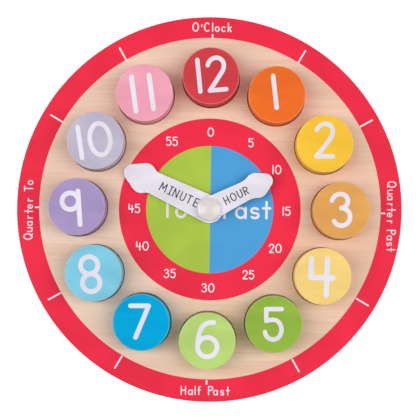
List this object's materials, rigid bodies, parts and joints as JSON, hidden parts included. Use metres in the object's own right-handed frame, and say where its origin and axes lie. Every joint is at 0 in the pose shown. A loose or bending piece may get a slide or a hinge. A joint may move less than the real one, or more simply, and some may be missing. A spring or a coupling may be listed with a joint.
{
  "type": "teaching clock",
  "caption": "Round wooden teaching clock that lies flat: a printed face board with loose painted number blocks in wells and separate hour and minute hands turned by hand.",
  "frame": {"origin": "middle of the board's resting face, on the pivot's axis", "axes": "+Z out of the clock face, +Y towards 12 o'clock, +X towards 3 o'clock"},
  "size_m": [0.29, 0.29, 0.027],
  "materials": {
    "face_wood": "pale lacquered wood, screen printed with red rings and a green and blue centre disc",
    "backing_wood": "bare pale wood, satin",
    "white_paint": "white satin paint on wood",
    "cream_plastic": "glossy cream moulding",
    "clear_nylon": "plain milky nylon",
    "orange_paint": "satin paint on wood with a white printed number",
    "yellow_paint": "satin paint on wood with a white printed number",
    "ochre_paint": "satin paint on wood with a white printed number",
    "pale_yellow_paint": "satin paint on wood with a white printed number",
    "green_paint": "satin paint on wood with a white printed number",
    "light_green_paint": "satin paint on wood with a white printed number",
    "blue_paint": "satin paint on wood with a white printed number",
    "light_blue_paint": "satin paint on wood with a white printed number",
    "purple_paint": "satin paint on wood with a white printed number",
    "lilac_paint": "satin paint on wood with a white printed number",
    "pink_paint": "satin paint on wood with a white printed number",
    "red_paint": "satin paint on wood with a white printed number"
  },
  "bodies": {
    "board": {"face_board": "face_wood", "backing_board": "backing_wood", "pivot_sleeve": "clear_nylon", "pivot_cap": "cream_plastic", "back_washer": "clear_nylon", "board_washer": "clear_nylon", "hand_washer": "clear_nylon"},
    "minute_hand": {"minute_hand": "white_paint"},
    "hour_hand": {"hour_hand": "white_paint"},
    "number_block_1": {"number_block_1": "orange_paint"},
    "number_block_2": {"number_block_2": "yellow_paint"},
    "number_block_3": {"number_block_3": "ochre_paint"},
    "number_block_4": {"number_block_4": "pale_yellow_paint"},
    "number_block_5": {"number_block_5": "green_paint"},
    "number_block_6": {"number_block_6": "light_green_paint"},
    "number_block_7": {"number_block_7": "blue_paint"},
    "number_block_8": {"number_block_8": "light_blue_paint"},
    "number_block_9": {"number_block_9": "purple_paint"},
    "number_block_10": {"number_block_10": "lilac_paint"},
    "number_block_11": {"number_block_11": "pink_paint"},
    "number_block_12": {"number_block_12": "red_paint"}
  },
  "joints": [
    {"name": "minute_hand_turn", "type": "hinge", "parent": "board", "child": "minute_hand", "pos_m": [0, 0, 0.0143], "axis": [0, 0, -1], "continuous": true},
    {"name": "hour_hand_turn", "type": "hinge", "parent": "board", "child": "hour_hand", "pos_m": [0, 0, 0.0181], "axis": [0, 0, -1], "continuous": true},
    {"name": "number_block_1_lift", "type": "slide", "parent": "board", "child": "number_block_1", "axis": [0, 0, 1], "range_m": [0, 0.03]},
    {"name": "number_block_2_lift", "type": "slide", "parent": "board", "child": "number_block_2", "axis": [0, 0, 1], "range_m": [0, 0.03]},
    {"name": "number_block_3_lift", "type": "slide", "parent": "board", "child": "number_block_3", "axis": [0, 0, 1], "range_m": [0, 0.03]},
    {"name": "number_block_4_lift", "type": "slide", "parent": "board", "child": "number_block_4", "axis": [0, 0, 1], "range_m": [0, 0.03]},
    {"name": "number_block_5_lift", "type": "slide", "parent": "board", "child": "number_block_5", "axis": [0, 0, 1], "range_m": [0, 0.03]},
    {"name": "number_block_6_lift", "type": "slide", "parent": "board", "child": "number_block_6", "axis": [0, 0, 1], "range_m": [0, 0.03]},
    {"name": "number_block_7_lift", "type": "slide", "parent": "board", "child": "number_block_7", "axis": [0, 0, 1], "range_m": [0, 0.03]},
    {"name": "number_block_8_lift", "type": "slide", "parent": "board", "child": "number_block_8", "axis": [0, 0, 1], "range_m": [0, 0.03]},
    {"name": "number_block_9_lift", "type": "slide", "parent": "board", "child": "number_block_9", "axis": [0, 0, 1], "range_m": [0, 0.03]},
    {"name": "number_block_10_lift", "type": "slide", "parent": "board", "child": "number_block_10", "axis": [0, 0, 1], "range_m": [0, 0.03]},
    {"name": "number_block_11_lift", "type": "slide", "parent": "board", "child": "number_block_11", "axis": [0, 0, 1], "range_m": [0, 0.03]},
    {"name": "number_block_12_lift", "type": "slide", "parent": "board", "child": "number_block_12", "axis": [0, 0, 1], "range_m": [0, 0.03]}
  ]
}
